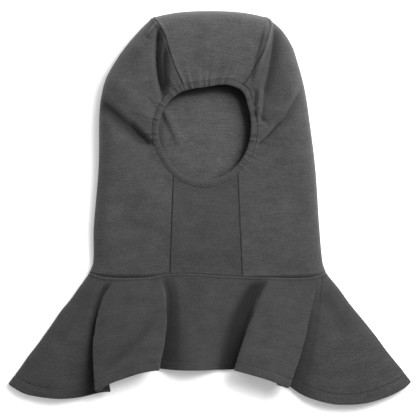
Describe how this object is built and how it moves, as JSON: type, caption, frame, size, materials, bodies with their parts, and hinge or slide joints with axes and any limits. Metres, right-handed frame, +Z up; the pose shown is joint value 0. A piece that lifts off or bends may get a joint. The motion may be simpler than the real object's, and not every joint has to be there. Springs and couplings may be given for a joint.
{
  "type": "knitted welding hood with bib",
  "caption": "Knitted cloth welding hood lying flat on its back, with a bound face opening, a chin panel, a crown panel and a flared bib that lies in raised folds.",
  "frame": {"origin": "middle of the hood's footprint, on the table that it lies on", "axes": "+X to the right as seen from above, +Y from the hem to the crown, +Z up, out of the face opening"},
  "size_m": [0.4511, 0.4388, 0.0407],
  "materials": {
    "knit": "dark grey heather knit, matt, with fine slubs across",
    "elastic": "dark grey elastic binding, folded and stitched, matt"
  },
  "bodies": {
    "root": {"crown_panel": "knit", "side_panel_left": "knit", "side_panel_right": "knit", "chin_panel": "knit", "face_binding": "elastic", "bib": "knit"}
  },
  "joints": []
}
